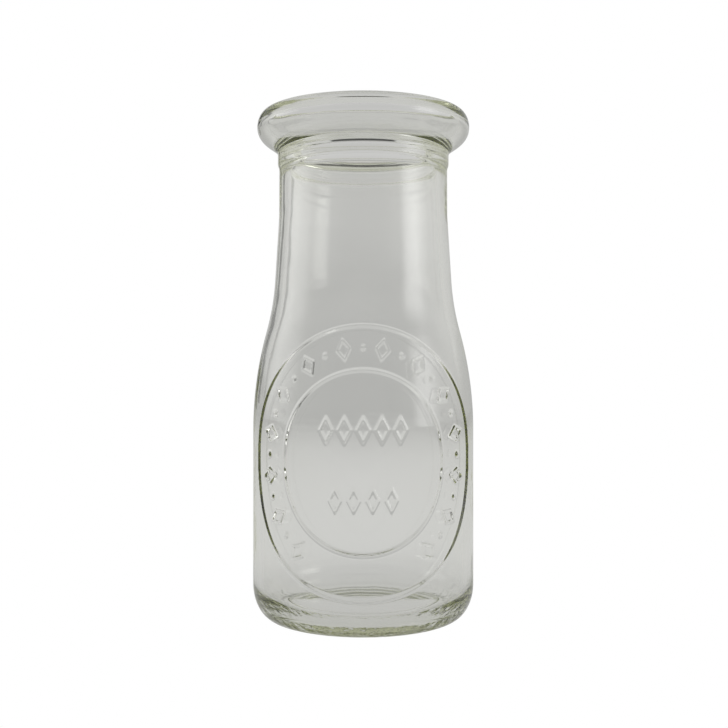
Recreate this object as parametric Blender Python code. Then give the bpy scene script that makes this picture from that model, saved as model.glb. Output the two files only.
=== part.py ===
"""Half-pint glass milk bottle, moulded in one piece of clear glass.

The bottle stands on z = 0 with its centre line on the Z axis, and the raised
medallion on its body faces -Y.  All lengths are in metres.
"""
import math

import bmesh
import bpy

MM = 0.001

# Outside of the turned body, from the standing ring up to the lip.
BODY_RADIUS = 30.5 * MM
TOTAL_HEIGHT = 139.7 * MM
STANDING_RING_INNER_RADIUS = 21.4 * MM
STANDING_RING_OUTER_RADIUS = 24.2 * MM
HEEL_HEIGHT = 9.5 * MM
PUSH_UP_HEIGHT = 2.6 * MM
SHOULDER_START = 52.0 * MM
SHOULDER_MIDDLE = 79.0 * MM
SHOULDER_END = 93.0 * MM
SHOULDER_SLOPE = math.radians(15.5)
NECK_TAPER = math.radians(3.6)
NECK_TAPER_END = 111.0 * MM
COLLAR_BOTTOM = 124.4 * MM
COLLAR_ROUND_HEIGHT = 1.2 * MM
COLLAR_RADIUS = 23.7 * MM
COLLAR_STAND_OUT = 0.4 * MM
LIP_ROOT_BELOW_RIM = 11.9 * MM
LIP_RADIUS = 29.4 * MM
LIP_WIDEST_BELOW_RIM = 4.4 * MM
LIP_ROOT_PULL = 2.4 * MM
LIP_SIDE_PULL = 4.7 * MM
RIM_RADIUS = 26.3 * MM

# Inside: a rounded rim bead, a flared mouth, a narrow throat with a ledge under it, then the wall.
BEAD_RADIUS = 24.4 * MM
BEAD_BELOW_RIM = 1.2 * MM
BEAD_ROUND_HEIGHT = 0.7 * MM
BEAD_ROUND_WIDTH = 1.0 * MM
BEAD_LOWER_PULL = 1.1 * MM
MOUTH_RADIUS = 26.4 * MM
MOUTH_WIDEST_BELOW_RIM = 4.0 * MM
MOUTH_SIDE_PULL = 2.6 * MM
THROAT_RADIUS = 17.9 * MM
THROAT_TOP_BELOW_RIM = 9.9 * MM
THROAT_BOTTOM_BELOW_RIM = 10.3 * MM
THROAT_PULL = (2.3 * MM, 1.5 * MM)
LEDGE_RADIUS = 20.2 * MM
LEDGE_BELOW_RIM = 11.9 * MM
WALL = 2.6 * MM
FLOOR_EDGE_HEIGHT = 3.5 * MM
FLOOR_RISE = 1.4 * MM
FLOOR_RADIUS = 21.0 * MM
INNER_HEEL_HEIGHT = 6.5 * MM

# Raised medallion, measured over the curved surface of the body.
MEDALLION_HEIGHT_ABOVE_BASE = 45.15 * MM
OUTER_RING_RADIUS = 34.8 * MM
INNER_RING_HALF_WIDTH = 22.3 * MM
INNER_RING_HALF_HEIGHT = 23.4 * MM
RING_WIDTH = 1.2 * MM
ORNAMENT_LINE_WIDTH = 0.9 * MM
RELIEF = 0.5 * MM
RELIEF_ROOT = 0.5 * MM
DRAFT = 0.3 * MM
BAND_LOZENGES = 14
BAND_OPEN_ANGLE = math.radians(76.0)
BAND_LOZENGE_HALF_WIDTH = 1.8 * MM
BAND_LOZENGE_HALF_HEIGHT = 2.6 * MM
BAND_DOT_RADIUS = 1.0 * MM
UPPER_ROW = {"count": 5, "height": 8.2 * MM, "pitch": 4.8 * MM}
LOWER_ROW = {"count": 4, "height": -9.4 * MM, "pitch": 4.8 * MM}
ROW_LOZENGE_HALF_WIDTH = 1.5 * MM
ROW_LOZENGE_HALF_HEIGHT = 2.9 * MM

# Fineness of the facets.
TURN_STEPS = 60
RING_STEPS = 60
DOT_STEPS = 8
SMOOTH_ANGLE = math.radians(35.0)
WELD_DISTANCE = 1e-6

GLASS_COLOUR = (0.86, 0.89, 0.85, 1.0)
GLASS_ROUGHNESS = 0.04
GLASS_IOR = 1.5


def clear_scene():
    """Remove whatever the file opened with."""
    for item in list(bpy.data.objects):
        bpy.data.objects.remove(item)


def oval_arc(centre, semi_radius, semi_height, start, end, steps):
    """Points (radius, height) along part of an upright ellipse, angles in degrees."""
    points = []
    for step in range(steps + 1):
        angle = math.radians(start + (end - start) * step / steps)
        radius = centre[0] + semi_radius * math.cos(angle)
        height = centre[1] + semi_height * math.sin(angle)
        points.append((radius, height))
    return points


def bend(start, slope_from, slope_to, rise, steps):
    """Points of a circular arc from start whose inward slope changes as it rises."""
    bend_radius = rise / (math.sin(slope_to) - math.sin(slope_from))
    points = []
    for step in range(1, steps + 1):
        slope = slope_from + (slope_to - slope_from) * step / steps
        radius = start[0] - bend_radius * (math.cos(slope_from) - math.cos(slope))
        height = start[1] + bend_radius * (math.sin(slope) - math.sin(slope_from))
        points.append((radius, height))
    return points


def curve(start, start_pull, end_pull, end, steps):
    """Points of a smooth curve that leaves start towards one pull and reaches end from the other."""
    corners = (start, start_pull, end_pull, end)
    points = []
    for step in range(1, steps + 1):
        share = step / steps
        rest = 1.0 - share
        weights = (rest**3, 3 * rest**2 * share, 3 * rest * share**2, share**3)
        radius = sum(weight * corner[0] for weight, corner in zip(weights, corners))
        height = sum(weight * corner[1] for weight, corner in zip(weights, corners))
        points.append((radius, height))
    return points


def body_and_neck(radius, bottom):
    """One wall line from the straight body over the shoulder to the top of the neck taper."""
    points = [(radius, bottom), (radius, SHOULDER_START)]
    lower_rise = SHOULDER_MIDDLE - SHOULDER_START
    points += bend(points[-1], 0.0, SHOULDER_SLOPE, lower_rise, steps=5)
    upper_rise = SHOULDER_END - SHOULDER_MIDDLE
    points += bend(points[-1], SHOULDER_SLOPE, NECK_TAPER, upper_rise, steps=4)
    taper_rise = NECK_TAPER_END - SHOULDER_END
    neck_radius = points[-1][0] - taper_rise * math.tan(NECK_TAPER)
    points.append((neck_radius, NECK_TAPER_END))
    return points


def outer_profile():
    """Outside line, from the middle of the push-up under the base to the top of the rim."""
    points = oval_arc((0.0, 0.0), STANDING_RING_INNER_RADIUS, PUSH_UP_HEIGHT, 90, 0, steps=4)
    heel_width = BODY_RADIUS - STANDING_RING_OUTER_RADIUS
    heel_centre = (STANDING_RING_OUTER_RADIUS, HEEL_HEIGHT)
    points += oval_arc(heel_centre, heel_width, HEEL_HEIGHT, -90, 0, steps=5)
    points += body_and_neck(BODY_RADIUS, HEEL_HEIGHT)[1:]
    collar_middle = (COLLAR_RADIUS - COLLAR_STAND_OUT, COLLAR_BOTTOM + COLLAR_ROUND_HEIGHT)
    points += oval_arc(collar_middle, COLLAR_STAND_OUT, COLLAR_ROUND_HEIGHT, -90, 0, steps=3)
    lip_root = (COLLAR_RADIUS, TOTAL_HEIGHT - LIP_ROOT_BELOW_RIM)
    lip_side = (LIP_RADIUS, TOTAL_HEIGHT - LIP_WIDEST_BELOW_RIM)
    root_pull = (COLLAR_RADIUS, lip_root[1] + LIP_ROOT_PULL)
    side_pull = (LIP_RADIUS, lip_side[1] - LIP_SIDE_PULL)
    points.append(lip_root)
    points += curve(lip_root, root_pull, side_pull, lip_side, steps=7)
    rim_centre = (RIM_RADIUS, lip_side[1])
    points += oval_arc(rim_centre, LIP_RADIUS - RIM_RADIUS, LIP_WIDEST_BELOW_RIM, 0, 90, steps=5)[1:]
    return points


def mouth_profile():
    """Inside line from the rim over its bead and down the flared mouth to the throat."""
    rim = (RIM_RADIUS, TOTAL_HEIGHT)
    bead = (BEAD_RADIUS, TOTAL_HEIGHT - BEAD_BELOW_RIM)
    widest = (MOUTH_RADIUS, TOTAL_HEIGHT - MOUTH_WIDEST_BELOW_RIM)
    throat = (THROAT_RADIUS, TOTAL_HEIGHT - THROAT_TOP_BELOW_RIM)
    rim_pull = (RIM_RADIUS - BEAD_ROUND_WIDTH, TOTAL_HEIGHT)
    bead_upper_pull = (BEAD_RADIUS, bead[1] + BEAD_ROUND_HEIGHT)
    points = curve(rim, rim_pull, bead_upper_pull, bead, steps=3)
    bead_lower_pull = (BEAD_RADIUS, bead[1] - BEAD_LOWER_PULL)
    widest_upper_pull = (MOUTH_RADIUS, widest[1] + BEAD_LOWER_PULL)
    points += curve(bead, bead_lower_pull, widest_upper_pull, widest, steps=4)
    widest_lower_pull = (MOUTH_RADIUS, widest[1] - MOUTH_SIDE_PULL)
    throat_pull = (throat[0] + THROAT_PULL[0], throat[1] + THROAT_PULL[1])
    points += curve(widest, widest_lower_pull, throat_pull, throat, steps=6)
    return points


def inner_profile():
    """Inside line, from the rim down through the throat to the middle of the floor."""
    points = mouth_profile()
    points.append((THROAT_RADIUS, TOTAL_HEIGHT - THROAT_BOTTOM_BELOW_RIM))
    points.append((LEDGE_RADIUS, TOTAL_HEIGHT - LEDGE_BELOW_RIM))
    inside_radius = BODY_RADIUS - WALL
    heel_top = FLOOR_EDGE_HEIGHT + INNER_HEEL_HEIGHT
    points += body_and_neck(inside_radius, heel_top)[::-1]
    heel_centre = (FLOOR_RADIUS, heel_top)
    points += oval_arc(heel_centre, inside_radius - FLOOR_RADIUS, INNER_HEEL_HEIGHT, 0, -90, steps=5)[1:]
    floor_edge = (0.0, FLOOR_EDGE_HEIGHT)
    points += oval_arc(floor_edge, FLOOR_RADIUS, FLOOR_RISE, 0, 90, steps=3)[1:]
    return points


def radius_at(height, profile):
    """Outer radius of the bottle at a height between the heel and the neck."""
    for lower, upper in zip(profile, profile[1:]):
        if lower[1] <= height < upper[1]:
            share = (height - lower[1]) / (upper[1] - lower[1])
            return lower[0] + share * (upper[0] - lower[0])
    return BODY_RADIUS


def turned_mesh(profile):
    """Spin a profile of (radius, height) points once round the Z axis into a closed skin."""
    bm = bmesh.new()
    verts = [bm.verts.new((radius, 0.0, height)) for radius, height in profile]
    edges = [bm.edges.new(pair) for pair in zip(verts, verts[1:])]
    bmesh.ops.spin(
        bm,
        geom=verts + edges,
        cent=(0.0, 0.0, 0.0),
        axis=(0.0, 0.0, 1.0),
        angle=math.tau,
        steps=TURN_STEPS,
    )
    bmesh.ops.remove_doubles(bm, verts=bm.verts, dist=WELD_DISTANCE)
    bmesh.ops.recalc_face_normals(bm, faces=bm.faces)
    mesh = bpy.data.meshes.new("bottle")
    bm.to_mesh(mesh)
    bm.free()
    return mesh


def wrap(across, up, height, profile):
    """Lay a point of the flat medallion on the front of the bottle, raised by height."""
    turn = across / BODY_RADIUS
    level = MEDALLION_HEIGHT_ABOVE_BASE + up
    radius = radius_at(level, profile) + height
    return (radius * math.sin(turn), -radius * math.cos(turn), level)


def oval_outline(half_width, half_height, steps, middle=(0.0, 0.0), tilt=0.0):
    """Closed outline of an ellipse, or of a lozenge when steps is 4."""
    outline = []
    for step in range(steps):
        angle = math.tau * step / steps
        across = half_width * math.cos(angle)
        up = half_height * math.sin(angle)
        turned_across = across * math.cos(tilt) + up * math.sin(tilt)
        turned_up = up * math.cos(tilt) - across * math.sin(tilt)
        outline.append((middle[0] + turned_across, middle[1] + turned_up))
    return outline


def offset_outline(outline, distance):
    """Move each side of a closed outline outwards by distance, with mitred corners."""
    moved = []
    count = len(outline)
    for index, (across, up) in enumerate(outline):
        before = outline[index - 1]
        after = outline[(index + 1) % count]
        side_in = (across - before[0], up - before[1])
        side_out = (after[0] - across, after[1] - up)
        length_in = math.hypot(*side_in)
        length_out = math.hypot(*side_out)
        normal_in = (side_in[1] / length_in, -side_in[0] / length_in)
        normal_out = (side_out[1] / length_out, -side_out[0] / length_out)
        spread = 1.0 + normal_in[0] * normal_out[0] + normal_in[1] * normal_out[1]
        move_across = (normal_in[0] + normal_out[0]) * distance / spread
        move_up = (normal_in[1] + normal_out[1]) * distance / spread
        moved.append((across + move_across, up + move_up))
    return moved


def skin_loops(bm, loops, closed):
    """Join equal loops of points with triangles; an open stack is capped at both ends."""
    rings = [[bm.verts.new(point) for point in loop] for loop in loops]
    count = len(rings[0])
    pairs = list(zip(rings, rings[1:]))
    if closed:
        pairs.append((rings[-1], rings[0]))
    for lower, upper in pairs:
        for index in range(count):
            follow = (index + 1) % count
            bm.faces.new((lower[index], lower[follow], upper[follow], upper[index]))
    if not closed:
        bm.faces.new(rings[0][::-1])
        bm.faces.new(rings[-1])


def add_ridge(bm, outline, width, profile):
    """Raise a closed ridge with sloping sides along an outline, rooted in the wall."""
    loops = []
    half_root = width / 2 + DRAFT / 2
    half_crest = width / 2 - DRAFT / 2
    corners = (
        (-half_root, -RELIEF_ROOT),
        (half_root, -RELIEF_ROOT),
        (half_crest, RELIEF),
        (-half_crest, RELIEF),
    )
    for side, level in corners:
        edge = offset_outline(outline, side)
        loops.append([wrap(across, up, level, profile) for across, up in edge])
    skin_loops(bm, loops, closed=True)


def add_dot(bm, middle, profile):
    """Raise a small round boss."""
    loops = []
    for radius, level in ((BAND_DOT_RADIUS, -RELIEF_ROOT), (BAND_DOT_RADIUS - DRAFT, RELIEF)):
        outline = oval_outline(radius, radius, DOT_STEPS, middle)
        loops.append([wrap(across, up, level, profile) for across, up in outline])
    skin_loops(bm, loops, closed=False)


def add_band_ornaments(bm, profile):
    """Lozenges and dots by turns round the band between the rings, open at the bottom."""
    middle_width = (OUTER_RING_RADIUS + INNER_RING_HALF_WIDTH) / 2
    middle_height = (OUTER_RING_RADIUS + INNER_RING_HALF_HEIGHT) / 2
    places = 2 * BAND_LOZENGES - 1
    reach = math.pi - BAND_OPEN_ANGLE / 2
    for place in range(places):
        tilt = -reach + 2 * reach * place / (places - 1)
        middle = (middle_width * math.sin(tilt), middle_height * math.cos(tilt))
        if place % 2:
            add_dot(bm, middle, profile)
        else:
            outline = oval_outline(BAND_LOZENGE_HALF_WIDTH, BAND_LOZENGE_HALF_HEIGHT, 4, middle, tilt)
            add_ridge(bm, outline, ORNAMENT_LINE_WIDTH, profile)


def add_row(bm, row, profile):
    """A level row of lozenges inside the inner ring."""
    for place in range(row["count"]):
        across = (place - (row["count"] - 1) / 2) * row["pitch"]
        middle = (across, row["height"])
        outline = oval_outline(ROW_LOZENGE_HALF_WIDTH, ROW_LOZENGE_HALF_HEIGHT, 4, middle)
        add_ridge(bm, outline, ORNAMENT_LINE_WIDTH, profile)


def medallion_mesh(profile):
    """All the raised lines of the medallion, each rooted in the wall of the bottle."""
    bm = bmesh.new()
    outer_ring = oval_outline(OUTER_RING_RADIUS, OUTER_RING_RADIUS, RING_STEPS)
    add_ridge(bm, outer_ring, RING_WIDTH, profile)
    inner_ring = oval_outline(INNER_RING_HALF_WIDTH, INNER_RING_HALF_HEIGHT, RING_STEPS)
    add_ridge(bm, inner_ring, RING_WIDTH, profile)
    add_band_ornaments(bm, profile)
    add_row(bm, UPPER_ROW, profile)
    add_row(bm, LOWER_ROW, profile)
    bmesh.ops.triangulate(bm, faces=bm.faces)
    bmesh.ops.recalc_face_normals(bm, faces=bm.faces)
    mesh = bpy.data.meshes.new("medallion_relief")
    bm.to_mesh(mesh)
    bm.free()
    return mesh


def glass_material():
    """Clear, faintly green soda-lime glass."""
    material = bpy.data.materials.new("clear_glass")
    material.use_nodes = True
    shader = material.node_tree.nodes["Principled BSDF"]
    shader.inputs["Base Color"].default_value = GLASS_COLOUR
    shader.inputs["Metallic"].default_value = 0.0
    shader.inputs["Roughness"].default_value = GLASS_ROUGHNESS
    shader.inputs["IOR"].default_value = GLASS_IOR
    shader.inputs["Transmission Weight"].default_value = 1.0
    return material


def add_object(name, mesh):
    """Put a mesh into the scene as an object of its own."""
    item = bpy.data.objects.new(name, mesh)
    bpy.context.scene.collection.objects.link(item)
    return item


def build_bottle():
    """The whole bottle: the turned glass with its medallion melted into the front."""
    outside = outer_profile()
    bottle = add_object("bottle", turned_mesh(outside + inner_profile()))
    bottle.data.materials.append(glass_material())
    relief = add_object("medallion_relief", medallion_mesh(outside))
    relief.display_type = "WIRE"
    relief.hide_render = True
    union = bottle.modifiers.new("raise_medallion", "BOOLEAN")
    union.operation = "UNION"
    union.solver = "EXACT"
    union.object = relief
    union.use_self = True
    bottle.data.shade_smooth()
    bottle.data.set_sharp_from_angle(angle=SMOOTH_ANGLE)


clear_scene()
build_bottle()
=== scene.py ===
"""Looks of the half-pint glass milk bottle: its fine moulded surface, its glass and a studio.

Lengths are in metres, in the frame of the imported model: the bottle stands on z = 0, its
centre line is the Z axis and its medallion faces -Y.  A turn of 0 is the front, and turns
grow towards +X.
"""
import math

import bpy
import numpy as np
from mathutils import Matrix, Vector, noise


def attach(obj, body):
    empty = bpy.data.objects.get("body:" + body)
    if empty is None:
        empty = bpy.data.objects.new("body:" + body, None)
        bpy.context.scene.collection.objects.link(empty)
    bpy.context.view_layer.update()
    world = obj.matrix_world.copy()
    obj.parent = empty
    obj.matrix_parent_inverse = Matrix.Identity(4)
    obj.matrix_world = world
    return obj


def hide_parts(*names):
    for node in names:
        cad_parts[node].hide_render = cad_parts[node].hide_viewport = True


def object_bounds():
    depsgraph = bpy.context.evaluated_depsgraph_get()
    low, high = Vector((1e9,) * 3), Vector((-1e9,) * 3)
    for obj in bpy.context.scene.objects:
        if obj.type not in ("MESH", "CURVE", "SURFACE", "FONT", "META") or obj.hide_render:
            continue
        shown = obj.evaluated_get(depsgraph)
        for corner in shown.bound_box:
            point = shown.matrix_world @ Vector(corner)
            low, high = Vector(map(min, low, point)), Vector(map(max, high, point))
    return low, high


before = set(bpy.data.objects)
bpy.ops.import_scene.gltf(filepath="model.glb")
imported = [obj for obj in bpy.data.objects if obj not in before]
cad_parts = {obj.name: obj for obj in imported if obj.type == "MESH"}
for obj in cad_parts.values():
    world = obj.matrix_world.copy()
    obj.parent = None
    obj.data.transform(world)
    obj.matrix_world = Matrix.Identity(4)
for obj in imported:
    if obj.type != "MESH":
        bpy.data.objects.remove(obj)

MM = 0.001
TINY = 1e-9
CAD_LOW, CAD_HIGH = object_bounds()

# Outside of the turned body, from the standing ring up to the lip, inside the box of the CAD model.
BODY_RADIUS = CAD_HIGH[0]
TOTAL_HEIGHT = CAD_HIGH[2]
RING_INNER_RADIUS = 21.4 * MM
RING_OUTER_RADIUS = 24.2 * MM
HEEL_HEIGHT = 9.5 * MM
PUSH_UP_HEIGHT = 2.6 * MM
SHOULDER_START = 52.0 * MM
SHOULDER_MIDDLE = 79.0 * MM
SHOULDER_END = 93.0 * MM
SHOULDER_SLOPE = math.radians(15.5)
NECK_TAPER = math.radians(3.6)
NECK_TAPER_END = 111.0 * MM
COLLAR_BOTTOM = 124.4 * MM
COLLAR_ROUND_HEIGHT = 1.2 * MM
COLLAR_RADIUS = 23.7 * MM
COLLAR_STAND_OUT = 0.4 * MM
LIP_ROOT_BELOW_RIM = 11.9 * MM
LIP_RADIUS = 29.4 * MM
LIP_WIDEST_BELOW_RIM = 4.4 * MM
LIP_ROOT_PULL = 2.4 * MM
LIP_SIDE_PULL = 4.7 * MM
RIM_RADIUS = 26.3 * MM

# Inside: a thick rim bead, a wide mouth, a narrow throat, and the neck and body below it.
BEAD_RADIUS = 24.4 * MM
BEAD_BELOW_RIM = 1.2 * MM
BEAD_ROUND_HEIGHT = 0.7 * MM
BEAD_ROUND_WIDTH = 1.0 * MM
BEAD_LOWER_PULL = 1.1 * MM
MOUTH_RADIUS = 26.4 * MM
MOUTH_WIDEST_BELOW_RIM = 4.0 * MM
MOUTH_SIDE_PULL = 2.6 * MM
THROAT_RADIUS = 17.9 * MM
THROAT_TOP_BELOW_RIM = 9.9 * MM
THROAT_BOTTOM_BELOW_RIM = 10.3 * MM
THROAT_PULL = (2.3 * MM, 1.5 * MM)
LEDGE_RADIUS = 20.2 * MM
LEDGE_BELOW_RIM = 11.9 * MM
WALL = 2.6 * MM
FLOOR_EDGE_HEIGHT = 3.5 * MM
FLOOR_RISE = 1.4 * MM
FLOOR_RADIUS = 21.0 * MM
INNER_HEEL_HEIGHT = 6.5 * MM

# Raised medallion, measured over the curved surface of the body.
MEDALLION_LEVEL = 45.15 * MM
OUTER_RING = (34.8 * MM, 34.8 * MM)
INNER_RING = (22.3 * MM, 23.4 * MM)
RING_WIDTH = 1.1 * MM
ORNAMENT_LINE_WIDTH = 0.9 * MM
RELIEF = 0.42 * MM
RIDGE_FOOT_SPREAD = 1.25
BAND_LOZENGES = 14
BAND_OPEN_ANGLE = math.radians(76.0)
BAND_LOZENGE = (1.8 * MM, 2.6 * MM)
BAND_DOT_RADIUS = 1.0 * MM
ROW_LOZENGE = (1.5 * MM, 2.9 * MM)
UPPER_ROW = {"count": 5, "up": 8.2 * MM, "pitch": 4.8 * MM}
LOWER_ROW = {"count": 4, "up": -9.4 * MM, "pitch": 4.8 * MM}

# The fine patch of the skin that carries the medallion, and the coarser skin round it.
PATCH_BOTTOM = 9.6 * MM
PATCH_TOP = 82.0 * MM
PATCH_HALF_TURN = math.radians(68.0)
PATCH_COLUMNS = 236
PATCH_ROWS = 246
BACK_COLUMNS = 84
BACK_ROWS = 42
SEAM_GAP = 0.5 * MM
COLUMNS = 144

# Unevenness of the blown inside, smears and chill marks of the skin, and the stippled foot.
INSIDE_WAVE = 0.14 * MM
INSIDE_WAVELENGTH = 16.0 * MM
INSIDE_WAVE_TOP = 118.0 * MM
INSIDE_WAVE_FADE = 10.0 * MM
INSIDE_WAVE_SEED = 3.0
SMEAR_SCALE = 60.0
SMEAR_DETAIL = 3.0
SMEAR_RANGE = (0.45, 0.75)
SMEAR_ROUGHNESS = 0.05
CHILL_SCALE = 90.0
CHILL_DETAIL = 2.0
CHILL_HEIGHT = 0.06 * MM
STIPPLE_SCALE = 480.0
STIPPLE_DETAIL = 2.0
STIPPLE_HEIGHT = 0.55 * MM
STIPPLE_FULL_TOP = 2.6 * MM
STIPPLE_TOP = 4.0 * MM
STIPPLE_INNER_RADIUS = 22.5 * MM

# Glass: clear when thin, olive where light travels far inside it.
GLASS_IOR = 1.5
DEEP_GLASS_COLOUR = (0.54, 0.57, 0.22, 1.0)
DEEP_GLASS_DENSITY = 20.0
LIGHT_BOUNCES = 128

# Studio walls: brightness by bearing in degrees, 0 towards the camera and 90 towards +X, for one whole turn.
STUDIO_LIGHT = (
    (-180, 0.56),
    (-158, 0.58),
    (-155, 0.1),
    (-150, 0.1),
    (-147, 0.6),
    (-130, 0.62),
    (-112, 1.5),
    (-88, 1.5),
    (-72, 0.6),
    (-30, 0.4),
    (30, 0.4),
    (52, 0.6),
    (62, 2.6),
    (76, 2.6),
    (90, 1.1),
    (130, 0.65),
    (180, 0.56),
)
HORIZON_LIGHT = 0.82
HORIZON_RISE = (0.03, 0.13)

# Studio ceiling: dark gaps are placed on a plane one unit above the bottle, +depth away from the camera.
CEILING_RISE = (0.3, 0.5)
CEILING_LIGHT = 0.6
CEILING_GAP_LIGHT = 0.05
CEILING_GAP_EDGE = (0.7, 1.0)
REAR_GAP = {"depth": 0.58, "half_width": 0.40, "half_depth": 0.34}
FRONT_GAP = {"depth": -0.56, "half_width": 0.62, "half_depth": 0.18}

# Floor: its glow as studio light near the bottle and far from it, with a soft painted shadow round the foot.
FLOOR_HALF_WIDTH = 3.0
FLOOR_GAP = 0.2 * MM
FLOOR_NEAR_LIGHT = 0.64
FLOOR_FAR_LIGHT = 0.46
FLOOR_FADE = (0.2, 1.3)
# Painted shadow round the foot: how dark the glow gets there, and how far out it reaches.
FOOT_SHADE = 0.84
FOOT_SHADE_REACH = (0.03, 0.13)

# Straight to the camera, the floor and the studio are plain white.
STAGE_SEEN = 1.0

# Camera: level with the middle of the bottle and close to it, so the lip is seen from below.
CAMERA_PLACE = (0.0002, -0.305, 0.07005)
CAMERA_LENS = 54.12
CAMERA_CLIP_START = 0.01


def oval_arc(centre, semi_radius, semi_height, start, end, steps):
    """Points (radius, height) along part of an upright ellipse, angles in degrees."""
    points = []
    for step in range(steps + 1):
        angle = math.radians(start + (end - start) * step / steps)
        radius = centre[0] + semi_radius * math.cos(angle)
        height = centre[1] + semi_height * math.sin(angle)
        points.append((radius, height))
    return points


def bend(start, slope_from, slope_to, rise, steps):
    """Points of a circular arc from start whose inward slope changes as it rises."""
    bend_radius = rise / (math.sin(slope_to) - math.sin(slope_from))
    points = []
    for step in range(1, steps + 1):
        slope = slope_from + (slope_to - slope_from) * step / steps
        radius = start[0] - bend_radius * (math.cos(slope_from) - math.cos(slope))
        height = start[1] + bend_radius * (math.sin(slope) - math.sin(slope_from))
        points.append((radius, height))
    return points


def straight(start, end, steps):
    """Points along a straight line, without its first."""
    points = []
    for step in range(1, steps + 1):
        share = step / steps
        radius = start[0] + (end[0] - start[0]) * share
        height = start[1] + (end[1] - start[1]) * share
        points.append((radius, height))
    return points


def curve(start, start_pull, end_pull, end, steps):
    """Points of a smooth curve that leaves start towards one pull and reaches end from the other."""
    corners = (start, start_pull, end_pull, end)
    points = []
    for step in range(1, steps + 1):
        share = step / steps
        rest = 1.0 - share
        weights = (rest**3, 3 * rest**2 * share, 3 * rest * share**2, share**3)
        radius = sum(weight * corner[0] for weight, corner in zip(weights, corners))
        height = sum(weight * corner[1] for weight, corner in zip(weights, corners))
        points.append((radius, height))
    return points


def body_and_neck(radius, bottom):
    """One wall line from the straight body over the shoulder to the top of the neck taper."""
    points = [(radius, bottom)]
    points += straight(points[-1], (radius, SHOULDER_START), steps=24)
    points += bend(points[-1], 0.0, SHOULDER_SLOPE, SHOULDER_MIDDLE - SHOULDER_START, steps=16)
    points += bend(points[-1], SHOULDER_SLOPE, NECK_TAPER, SHOULDER_END - SHOULDER_MIDDLE, steps=12)
    taper_rise = NECK_TAPER_END - SHOULDER_END
    neck_radius = points[-1][0] - taper_rise * math.tan(NECK_TAPER)
    points += straight(points[-1], (neck_radius, NECK_TAPER_END), steps=14)
    return points


def outer_line():
    """Outside line, from the middle of the push-up under the base to the top of the rim."""
    points = oval_arc((0.0, 0.0), RING_INNER_RADIUS, PUSH_UP_HEIGHT, 90, 0, steps=14)
    points += straight(points[-1], (RING_OUTER_RADIUS, 0.0), steps=4)[:-1]
    heel_centre = (RING_OUTER_RADIUS, HEEL_HEIGHT)
    points += oval_arc(heel_centre, BODY_RADIUS - RING_OUTER_RADIUS, HEEL_HEIGHT, -90, 0, steps=18)
    points += body_and_neck(BODY_RADIUS, HEEL_HEIGHT)[1:]
    neck_top = (COLLAR_RADIUS - COLLAR_STAND_OUT, COLLAR_BOTTOM)
    points += straight(points[-1], neck_top, steps=6)[:-1]
    collar_middle = (neck_top[0], COLLAR_BOTTOM + COLLAR_ROUND_HEIGHT)
    points += oval_arc(collar_middle, COLLAR_STAND_OUT, COLLAR_ROUND_HEIGHT, -90, 0, steps=8)
    lip_root = (COLLAR_RADIUS, TOTAL_HEIGHT - LIP_ROOT_BELOW_RIM)
    points += straight(points[-1], lip_root, steps=4)
    lip_side = (LIP_RADIUS, TOTAL_HEIGHT - LIP_WIDEST_BELOW_RIM)
    root_pull = (COLLAR_RADIUS, lip_root[1] + LIP_ROOT_PULL)
    side_pull = (LIP_RADIUS, lip_side[1] - LIP_SIDE_PULL)
    points += curve(lip_root, root_pull, side_pull, lip_side, steps=18)
    rim_centre = (RIM_RADIUS, lip_side[1])
    points += oval_arc(rim_centre, LIP_RADIUS - RIM_RADIUS, LIP_WIDEST_BELOW_RIM, 0, 90, steps=16)[1:]
    return points


def mouth_line():
    """Inside line from the rim over its bead and down the flared mouth to the throat."""
    rim = (RIM_RADIUS, TOTAL_HEIGHT)
    bead = (BEAD_RADIUS, TOTAL_HEIGHT - BEAD_BELOW_RIM)
    widest = (MOUTH_RADIUS, TOTAL_HEIGHT - MOUTH_WIDEST_BELOW_RIM)
    throat = (THROAT_RADIUS, TOTAL_HEIGHT - THROAT_TOP_BELOW_RIM)
    rim_pull = (RIM_RADIUS - BEAD_ROUND_WIDTH, TOTAL_HEIGHT)
    bead_upper_pull = (BEAD_RADIUS, bead[1] + BEAD_ROUND_HEIGHT)
    points = curve(rim, rim_pull, bead_upper_pull, bead, steps=8)
    bead_lower_pull = (BEAD_RADIUS, bead[1] - BEAD_LOWER_PULL)
    widest_upper_pull = (MOUTH_RADIUS, widest[1] + BEAD_LOWER_PULL)
    points += curve(bead, bead_lower_pull, widest_upper_pull, widest, steps=10)
    widest_lower_pull = (MOUTH_RADIUS, widest[1] - MOUTH_SIDE_PULL)
    throat_pull = (throat[0] + THROAT_PULL[0], throat[1] + THROAT_PULL[1])
    points += curve(widest, widest_lower_pull, throat_pull, throat, steps=16)
    return points


def inner_line():
    """Inside line, from the rim down through the throat to the middle of the floor."""
    points = mouth_line()
    points += straight(points[-1], (THROAT_RADIUS, TOTAL_HEIGHT - THROAT_BOTTOM_BELOW_RIM), steps=2)
    points += straight(points[-1], (LEDGE_RADIUS, TOTAL_HEIGHT - LEDGE_BELOW_RIM), steps=5)
    inside_radius = BODY_RADIUS - WALL
    heel_top = FLOOR_EDGE_HEIGHT + INNER_HEEL_HEIGHT
    wall = body_and_neck(inside_radius, heel_top)
    points += straight(points[-1], wall[-1], steps=10)[:-1]
    points += wall[::-1]
    heel_centre = (FLOOR_RADIUS, heel_top)
    points += oval_arc(heel_centre, inside_radius - FLOOR_RADIUS, INNER_HEEL_HEIGHT, 0, -90, steps=14)[1:]
    floor_edge = (0.0, FLOOR_EDGE_HEIGHT)
    points += oval_arc(floor_edge, FLOOR_RADIUS, FLOOR_RISE, 0, 90, steps=14)[1:]
    return points


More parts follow.
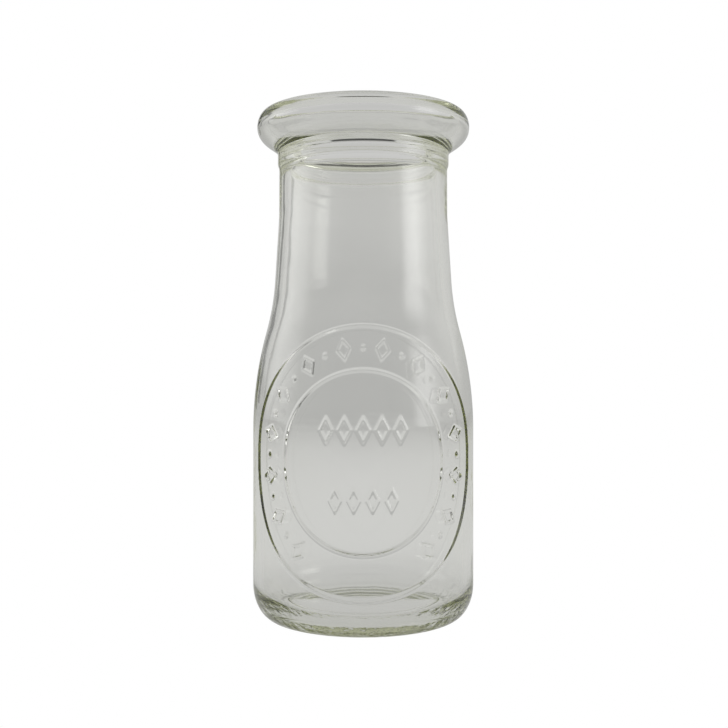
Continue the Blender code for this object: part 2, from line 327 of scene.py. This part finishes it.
def ellipse_distance(across, up, half_axes):
    """Distance of points from an ellipse, near enough close to its line."""
    scaled_across = across / half_axes[0]
    scaled_up = up / half_axes[1]
    reach = np.hypot(scaled_across, scaled_up) + TINY
    slope = np.hypot(scaled_across / half_axes[0], scaled_up / half_axes[1]) / reach + TINY
    return np.abs(reach - 1.0) / slope


def lozenge_distance(across, up, half_axes, middle, tilt=0.0):
    """Distance of points from the outline of a lozenge."""
    from_across = across - middle[0]
    from_up = up - middle[1]
    own_across = np.abs(from_across * math.cos(tilt) - from_up * math.sin(tilt))
    own_up = np.abs(from_up * math.cos(tilt) + from_across * math.sin(tilt))
    span = math.hypot(*half_axes)
    return np.abs(own_across * half_axes[1] + own_up * half_axes[0] - half_axes[0] * half_axes[1]) / span


def crest(distance, width):
    """Height of a rounded moulded ridge at a distance from its middle line."""
    share = np.clip(1.0 - distance / (width / 2 * RIDGE_FOOT_SPREAD), 0.0, 1.0)
    return share * share * (3.0 - 2.0 * share)


def medallion_relief(across, up):
    """Height of the medallion above the body, for points laid out flat."""
    height = crest(ellipse_distance(across, up, OUTER_RING), RING_WIDTH)
    height = np.maximum(height, crest(ellipse_distance(across, up, INNER_RING), RING_WIDTH))
    middle_axes = [(outer + inner) / 2 for outer, inner in zip(OUTER_RING, INNER_RING)]
    places = 2 * BAND_LOZENGES - 1
    reach = math.pi - BAND_OPEN_ANGLE / 2
    for place in range(places):
        tilt = -reach + 2 * reach * place / (places - 1)
        middle = (middle_axes[0] * math.sin(tilt), middle_axes[1] * math.cos(tilt))
        if place % 2:
            distance = np.hypot(across - middle[0], up - middle[1])
            height = np.maximum(height, crest(distance, 2 * BAND_DOT_RADIUS))
        else:
            distance = lozenge_distance(across, up, BAND_LOZENGE, middle, tilt)
            height = np.maximum(height, crest(distance, ORNAMENT_LINE_WIDTH))
    for row in (UPPER_ROW, LOWER_ROW):
        for place in range(row["count"]):
            middle = ((place - (row["count"] - 1) / 2) * row["pitch"], row["up"])
            distance = lozenge_distance(across, up, ROW_LOZENGE, middle)
            height = np.maximum(height, crest(distance, ORNAMENT_LINE_WIDTH))
    return RELIEF * height


class Skin:
    """Points and faces of one closed skin, gathered row by row."""

    def __init__(self):
        self.points = []
        self.faces = []

    def stack(self, rows_of_points, closed=True):
        """Add rows of points, each joined to the one before with four-sided faces."""
        rows = []
        for points in rows_of_points:
            first = len(self.points)
            self.points.extend(points)
            rows.append(list(range(first, len(self.points))))
        for lower, upper in zip(rows, rows[1:]):
            count = len(lower)
            for index in range(count if closed else count - 1):
                follow = (index + 1) % count
                self.faces.append((lower[index], lower[follow], upper[follow], upper[index]))
        return rows

    def zip(self, lower, lower_places, upper, upper_places):
        """Join two rows of different lengths with triangles; places say how far along each point is."""
        low = 0
        high = 0
        while low < len(lower) - 1 or high < len(upper) - 1:
            low_left = low < len(lower) - 1
            high_left = high < len(upper) - 1
            if low_left and (not high_left or lower_places[low + 1] <= upper_places[high + 1]):
                self.faces.append((lower[low], lower[low + 1], upper[high]))
                low += 1
            else:
                self.faces.append((lower[low], upper[high + 1], upper[high]))
                high += 1

    def fan(self, row, tip_point, outwards):
        """Close a row onto a single point."""
        tip = len(self.points)
        self.points.append(tip_point)
        count = len(row)
        for index in range(count):
            follow = (index + 1) % count
            if outwards:
                self.faces.append((tip, row[follow], row[index]))
            else:
                self.faces.append((row[index], row[follow], tip))

    def mesh(self, name):
        """Make the mesh, smooth all over."""
        mesh = bpy.data.meshes.new(name)
        mesh.from_pydata([tuple(point) for point in self.points], [], self.faces)
        mesh.shade_smooth()
        mesh.update()
        return mesh


def round_row(radius, height, turns):
    """Points of one level row round the bottle."""
    return [(radius * math.sin(turn), -radius * math.cos(turn), height) for turn in turns]


def blown_row(radius, height, turns):
    """One level row of the inside, whose radius wanders as on blown glass below the neck ring."""
    strength = INSIDE_WAVE * min(max((INSIDE_WAVE_TOP - height) / INSIDE_WAVE_FADE, 0.0), 1.0)
    shift = Vector((INSIDE_WAVE_SEED, INSIDE_WAVE_SEED, INSIDE_WAVE_SEED))
    row = []
    for x, y, z in round_row(radius, height, turns):
        wave = noise.noise(Vector((x, y, z)) / INSIDE_WAVELENGTH + shift)
        swell = 1.0 + strength * wave / radius
        row.append((x * swell, y * swell, z))
    return row


def closed_zip(skin, lower, lower_turns, upper, upper_turns):
    """Zip two closed rows that both start at the same turn."""
    skin.zip(
        lower + lower[:1],
        list(lower_turns) + [lower_turns[0] + math.tau],
        upper + upper[:1],
        list(upper_turns) + [upper_turns[0] + math.tau],
    )


def wall_radii(heights, outside):
    """Outer radius of the body and shoulder at each height."""
    wall = [point for point in outside if HEEL_HEIGHT <= point[1] <= SHOULDER_END]
    return np.interp(heights, [height for _, height in wall], [radius for radius, _ in wall])


def add_medallion_patch(skin, outside, heights, turns):
    """Add the fine front of the body with the medallion raised from it."""
    across, up = np.meshgrid(turns * BODY_RADIUS, heights - MEDALLION_LEVEL)
    radii = wall_radii(heights, outside)[:, None] + medallion_relief(across, up)
    levels = np.repeat(heights[:, None], len(turns), axis=1)
    grid = np.stack((radii * np.sin(turns), -radii * np.cos(turns), levels), axis=2)
    return skin.stack(grid, closed=False)


def add_body(skin, outside):
    """Add the body between foot and neck; return its end rows and the turns of their points."""
    front_heights = np.linspace(PATCH_BOTTOM, PATCH_TOP, PATCH_ROWS)
    front_turns = np.linspace(-PATCH_HALF_TURN, PATCH_HALF_TURN, PATCH_COLUMNS)
    front = add_medallion_patch(skin, outside, front_heights, front_turns)
    back_heights = np.linspace(PATCH_BOTTOM, PATCH_TOP, BACK_ROWS)
    back_turns = np.linspace(PATCH_HALF_TURN, math.tau - PATCH_HALF_TURN, BACK_COLUMNS + 2)[1:-1]
    back_radii = wall_radii(back_heights, outside)
    back_points = [round_row(radius, height, back_turns) for radius, height in zip(back_radii, back_heights)]
    back = skin.stack(back_points, closed=False)
    skin.zip([row[0] for row in back], back_heights, [row[-1] for row in front], front_heights)
    skin.zip([row[0] for row in front], front_heights, [row[-1] for row in back], back_heights)
    turns = list(front_turns) + list(back_turns)
    return front[0] + back[0], front[-1] + back[-1], turns


def bottle_mesh():
    """The whole skin of the bottle, from the push-up over the lip to the floor inside."""
    skin = Skin()
    outside = outer_line()
    inside = inner_line()
    turns = [math.tau * column / COLUMNS - PATCH_HALF_TURN for column in range(COLUMNS)]
    foot_line = [point for point in outside[1:] if point[1] < PATCH_BOTTOM - SEAM_GAP]
    neck_line = [point for point in outside if point[1] > PATCH_TOP + SEAM_GAP]
    foot = skin.stack([round_row(radius, height, turns) for radius, height in foot_line])
    body_bottom, body_top, body_turns = add_body(skin, outside)
    neck_points = [round_row(radius, height, turns) for radius, height in neck_line]
    inside_points = [blown_row(radius, height, turns) for radius, height in inside[:-1]]
    neck_and_inside = skin.stack(neck_points + inside_points)
    closed_zip(skin, foot[-1], turns, body_bottom, body_turns)
    closed_zip(skin, body_top, body_turns, neck_and_inside[0], turns)
    skin.fan(foot[0], (0.0, 0.0, outside[0][1]), outwards=True)
    skin.fan(neck_and_inside[-1], (0.0, 0.0, inside[-1][1]), outwards=False)
    return skin.mesh("glass_bottle")


def node(nodes, kind, **settings):
    """Add a shader node and set its choices."""
    added = nodes.new(kind)
    for name, value in settings.items():
        setattr(added, name, value)
    return added


def noise_node(nodes, links, place, scale, detail):
    """Smooth procedural noise at a place on the glass."""
    texture = node(nodes, "ShaderNodeTexNoise")
    texture.inputs["Scale"].default_value = scale
    texture.inputs["Detail"].default_value = detail
    links.new(place, texture.inputs["Vector"])
    return texture.outputs["Fac"]


def map_node(nodes, links, value, low, high, from_value, to_value):
    """Smoothly map a value between low and high onto another pair of values."""
    mapped = node(nodes, "ShaderNodeMapRange", interpolation_type="SMOOTHSTEP")
    mapped.inputs["From Min"].default_value = low
    mapped.inputs["From Max"].default_value = high
    mapped.inputs["To Min"].default_value = from_value
    mapped.inputs["To Max"].default_value = to_value
    links.new(value, mapped.inputs["Value"])
    return mapped.outputs[0]


def math_node(nodes, links, operation, *values):
    """One step of arithmetic on shader values or plain numbers."""
    step = node(nodes, "ShaderNodeMath", operation=operation)
    for value, socket in zip(values, step.inputs):
        if isinstance(value, (int, float)):
            socket.default_value = value
        else:
            links.new(value, socket)
    return step.outputs[0]


def blend(nodes, links, share, first, second):
    """Mix two brightnesses; a share of 1 gives all of the second."""
    mix = node(nodes, "ShaderNodeMix", data_type="FLOAT")
    for value, socket in ((share, "Factor"), (first, "A"), (second, "B")):
        if isinstance(value, float):
            mix.inputs[socket].default_value = value
        else:
            links.new(value, mix.inputs[socket])
    return mix.outputs["Result"]


def foot_share(nodes, links, place):
    """1 on the stippled outside of the foot, fading to 0 above it and under the push-up."""
    split = node(nodes, "ShaderNodeSeparateXYZ")
    links.new(place, split.inputs[0])
    near_foot = map_node(nodes, links, split.outputs["Z"], STIPPLE_FULL_TOP, STIPPLE_TOP, 1.0, 0.0)
    level_place = node(nodes, "ShaderNodeVectorMath", operation="MULTIPLY")
    links.new(place, level_place.inputs[0])
    level_place.inputs[1].default_value = (1.0, 1.0, 0.0)
    radius = node(nodes, "ShaderNodeVectorMath", operation="LENGTH")
    links.new(level_place.outputs[0], radius.inputs[0])
    from_middle = radius.outputs["Value"]
    outside = map_node(nodes, links, from_middle, STIPPLE_INNER_RADIUS, RING_OUTER_RADIUS, 0.0, 1.0)
    return math_node(nodes, links, "MULTIPLY", near_foot, outside)


def stippled_and_chilled(nodes, links, place):
    """Surface direction with the fine stipple of the foot and the faint chill marks of the mould."""
    foot_bump = node(nodes, "ShaderNodeBump")
    foot_bump.inputs["Distance"].default_value = STIPPLE_HEIGHT
    links.new(foot_share(nodes, links, place), foot_bump.inputs["Strength"])
    links.new(noise_node(nodes, links, place, STIPPLE_SCALE, STIPPLE_DETAIL), foot_bump.inputs["Height"])
    skin_bump = node(nodes, "ShaderNodeBump")
    skin_bump.inputs["Strength"].default_value = 1.0
    skin_bump.inputs["Distance"].default_value = CHILL_HEIGHT
    links.new(noise_node(nodes, links, place, CHILL_SCALE, CHILL_DETAIL), skin_bump.inputs["Height"])
    links.new(foot_bump.outputs["Normal"], skin_bump.inputs["Normal"])
    return skin_bump.outputs["Normal"]


def glass_material():
    """Clear soda-lime glass, gently uneven, stippled round the foot and olive where it is deep."""
    material = bpy.data.materials.new("clear_glass_fine")
    material.use_nodes = True
    nodes = material.node_tree.nodes
    links = material.node_tree.links
    shader = nodes["Principled BSDF"]
    shader.inputs["Base Color"].default_value = (1.0, 1.0, 1.0, 1.0)
    shader.inputs["IOR"].default_value = GLASS_IOR
    shader.inputs["Transmission Weight"].default_value = 1.0
    place = node(nodes, "ShaderNodeTexCoord").outputs["Object"]
    smear = noise_node(nodes, links, place, SMEAR_SCALE, SMEAR_DETAIL)
    roughness = map_node(nodes, links, smear, *SMEAR_RANGE, 0.0, SMEAR_ROUGHNESS)
    links.new(roughness, shader.inputs["Roughness"])
    links.new(stippled_and_chilled(nodes, links, place), shader.inputs["Normal"])
    volume = node(nodes, "ShaderNodeVolumeAbsorption")
    volume.inputs["Color"].default_value = DEEP_GLASS_COLOUR
    volume.inputs["Density"].default_value = DEEP_GLASS_DENSITY
    links.new(volume.outputs["Volume"], nodes["Material Output"].inputs["Volume"])
    return material


def add_object(name, mesh, material):
    """Put a mesh into the scene with one material."""
    item = bpy.data.objects.new(name, mesh)
    bpy.context.scene.collection.objects.link(item)
    mesh.materials.append(material)
    return item


def seen_or_lighting(nodes, links, lighting):
    """Brightness that is white straight to the camera and the studio's own as light on the glass."""
    path = node(nodes, "ShaderNodeLightPath")
    return blend(nodes, links, path.outputs["Is Camera Ray"], lighting, STAGE_SEEN)


def floor_material():
    """Pale glowing floor, darker in a soft painted shadow round the foot of the bottle and dimmer far away.
    """
    material = bpy.data.materials.new("pale_floor")
    material.use_nodes = True
    nodes = material.node_tree.nodes
    links = material.node_tree.links
    nodes.remove(nodes["Principled BSDF"])
    distance = node(nodes, "ShaderNodeVectorMath", operation="LENGTH")
    links.new(node(nodes, "ShaderNodeTexCoord").outputs["Object"], distance.inputs[0])
    away = distance.outputs["Value"]
    fading = map_node(nodes, links, away, *FLOOR_FADE, FLOOR_NEAR_LIGHT, FLOOR_FAR_LIGHT)
    # Painted shadow: the floor's glow is darker round the foot of the bottle.
    shade = map_node(nodes, links, away, *FOOT_SHADE_REACH, FOOT_SHADE, 1.0)
    lighting = math_node(nodes, links, "MULTIPLY", fading, shade)
    shader = node(nodes, "ShaderNodeEmission")
    links.new(seen_or_lighting(nodes, links, lighting), shader.inputs["Color"])
    links.new(shader.outputs[0], nodes["Material Output"].inputs["Surface"])
    return material


def add_floor():
    """A wide pale floor just under the bottle."""
    half = FLOOR_HALF_WIDTH
    corners = [(-half, -half, 0), (half, -half, 0), (half, half, 0), (-half, half, 0)]
    mesh = bpy.data.meshes.new("studio_floor")
    mesh.from_pydata(corners, [], [(0, 1, 2, 3)])
    floor = add_object("studio_floor", mesh, floor_material())
    floor.location.z = -FLOOR_GAP


def ceiling_gap(nodes, links, across, depth, gap):
    """Measure of how far out a place on the ceiling is in an oval gap: 0 in its middle, 1 on its edge."""
    from_middle = math_node(nodes, links, "SUBTRACT", depth, gap["depth"])
    over_depth = math_node(nodes, links, "DIVIDE", from_middle, gap["half_depth"])
    over_width = math_node(nodes, links, "DIVIDE", across, gap["half_width"])
    squares = [math_node(nodes, links, "MULTIPLY", side, side) for side in (over_depth, over_width)]
    return math_node(nodes, links, "ADD", *squares)


def ceiling_light(nodes, links, direction):
    """Even ceiling with two dark gaps in it, one in front of the bottle and one behind."""
    across = math_node(nodes, links, "DIVIDE", direction.outputs["X"], direction.outputs["Z"])
    depth = math_node(nodes, links, "DIVIDE", direction.outputs["Y"], direction.outputs["Z"])
    rear = ceiling_gap(nodes, links, across, depth, REAR_GAP)
    front = ceiling_gap(nodes, links, across, depth, FRONT_GAP)
    nearest = math_node(nodes, links, "MINIMUM", rear, front)
    return map_node(nodes, links, nearest, *CEILING_GAP_EDGE, CEILING_GAP_LIGHT, CEILING_LIGHT)


def wall_light(nodes, links, direction):
    """Brightness of the studio walls: a tall soft box on each side, a dimmer front, a dark strip behind."""
    frontwards = math_node(nodes, links, "MULTIPLY", direction.outputs["Y"], -1.0)
    bearing = math_node(nodes, links, "ARCTAN2", direction.outputs["X"], frontwards)
    share = node(nodes, "ShaderNodeMapRange")
    share.inputs["From Min"].default_value = -math.pi
    share.inputs["From Max"].default_value = math.pi
    links.new(bearing, share.inputs["Value"])
    ramp = node(nodes, "ShaderNodeValToRGB")
    stops = ramp.color_ramp.elements
    for degrees, _ in STUDIO_LIGHT[1:-1]:
        stops.new((degrees + 180.0) / 360.0)
    for stop, (_, brightness) in zip(stops, STUDIO_LIGHT):
        stop.color = (brightness, brightness, brightness, 1.0)
    links.new(share.outputs[0], ramp.inputs["Fac"])
    rise = map_node(nodes, links, direction.outputs["Z"], *HORIZON_RISE, HORIZON_LIGHT, 1.0)
    return math_node(nodes, links, "MULTIPLY", ramp.outputs["Color"], rise)


def set_world():
    """Soft studio light all round, from the walls low down and from the ceiling above."""
    world = bpy.data.worlds.new("studio")
    bpy.context.scene.world = world
    world.use_nodes = True
    nodes = world.node_tree.nodes
    links = world.node_tree.links
    direction = node(nodes, "ShaderNodeSeparateXYZ")
    links.new(node(nodes, "ShaderNodeTexCoord").outputs["Generated"], direction.inputs[0])
    walls = wall_light(nodes, links, direction)
    ceiling = ceiling_light(nodes, links, direction)
    overhead = map_node(nodes, links, direction.outputs["Z"], *CEILING_RISE, 0.0, 1.0)
    lighting = blend(nodes, links, overhead, walls, ceiling)
    links.new(seen_or_lighting(nodes, links, lighting), nodes["Background"].inputs["Color"])


def add_camera():
    """A level camera close to the bottle."""
    camera = bpy.data.objects.new("camera", bpy.data.cameras.new("camera"))
    bpy.context.scene.collection.objects.link(camera)
    camera.location = CAMERA_PLACE
    camera.rotation_euler = (math.pi / 2, 0.0, 0.0)
    camera.data.lens = CAMERA_LENS
    camera.data.clip_start = CAMERA_CLIP_START
    bpy.context.scene.camera = camera


def let_light_through():
    """Plain colours, and enough bounces for light to find its way out of the thick glass."""
    bpy.context.scene.view_settings.view_transform = "Standard"
    cycles = bpy.context.scene.cycles
    cycles.max_bounces = LIGHT_BOUNCES
    cycles.transmission_bounces = LIGHT_BOUNCES
    cycles.glossy_bounces = LIGHT_BOUNCES


bottle = add_object("glass_bottle", bottle_mesh(), glass_material())
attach(bottle, "root")
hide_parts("bottle")
add_floor()
set_world()
add_camera()
let_light_through()
